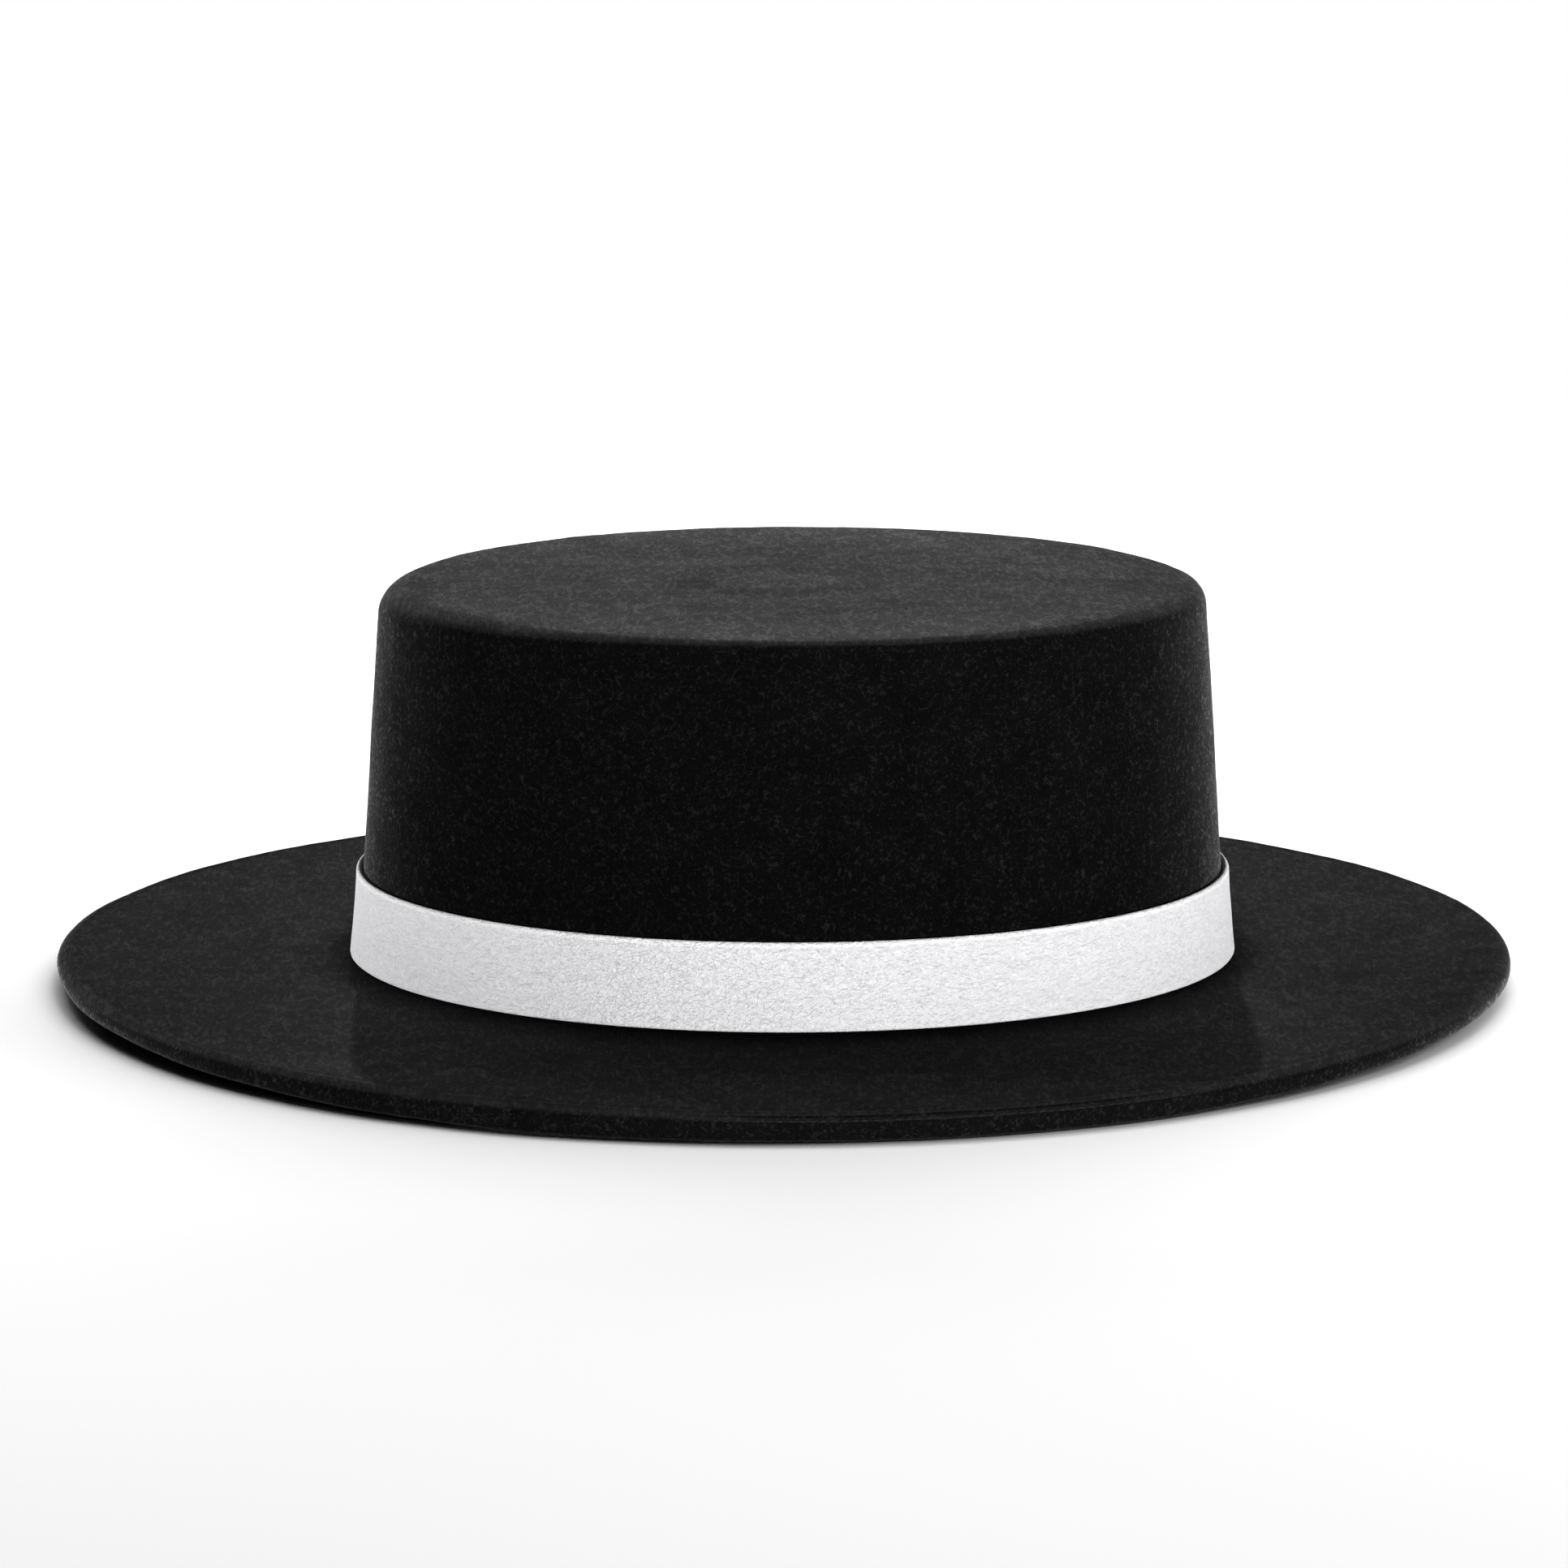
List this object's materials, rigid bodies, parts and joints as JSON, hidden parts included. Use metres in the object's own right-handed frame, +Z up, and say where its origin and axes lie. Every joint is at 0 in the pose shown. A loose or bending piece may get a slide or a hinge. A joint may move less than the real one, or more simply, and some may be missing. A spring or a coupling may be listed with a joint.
{
  "type": "flat-crowned felt hat with a white band",
  "caption": "Black felt hat with a round flat-topped crown, a wide level brim with a turned-under edge, and a plain white cloth band.",
  "frame": {"origin": "on the surface that the hat rests on, under the middle of the brim", "axes": "+X to the wearer's front, along the hat's length; +Y to the wearer's left; +Z up, out of the crown's top"},
  "size_m": [0.3386, 0.3194, 0.0931],
  "materials": {
    "black_felt": "matt black wool felt with a short nap",
    "white_crepe": "matt white crepe cloth with a fine pebbled grain"
  },
  "bodies": {
    "root": {"felt_body": "black_felt", "hat_band": "white_crepe"}
  },
  "joints": []
}
